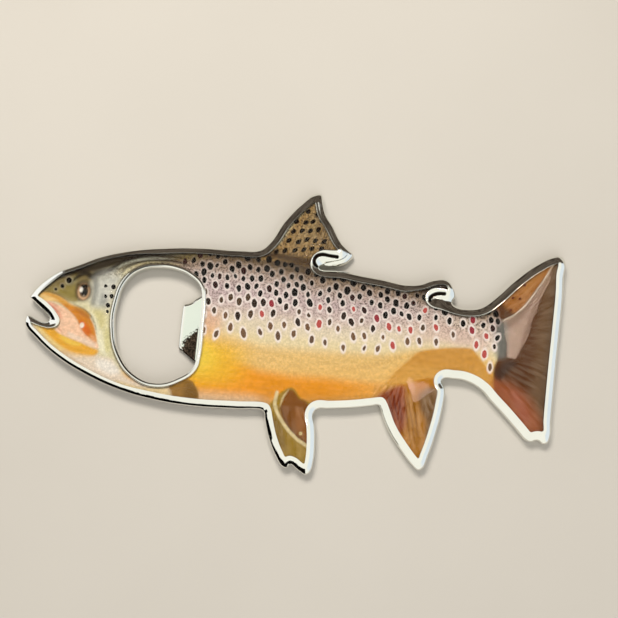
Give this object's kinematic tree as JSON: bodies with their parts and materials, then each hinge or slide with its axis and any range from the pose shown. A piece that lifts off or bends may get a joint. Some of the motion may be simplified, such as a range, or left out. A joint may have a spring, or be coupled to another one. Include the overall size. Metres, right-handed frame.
{
  "type": "souvenir bottle opener",
  "caption": "Flat trout-shaped bottle opener: chromed casting with a raised rim, a printed fish picture under clear domed resin, and a crown-cap opening with a prising lip in the head.",
  "frame": {"origin": "centre of the outline's bounding box, on the flat back face", "axes": "+X from the head to the tail, +Y towards the back fin, +Z out of the picture side"},
  "size_m": [0.1402, 0.0744, 0.0046],
  "materials": {
    "chrome_plate": "polished",
    "printed_film": "satin",
    "clear_resin": "gloss"
  },
  "bodies": {
    "root": {"cast_body": "chrome_plate", "artwork_film": "printed_film", "resin_dome": "clear_resin"}
  },
  "joints": []
}
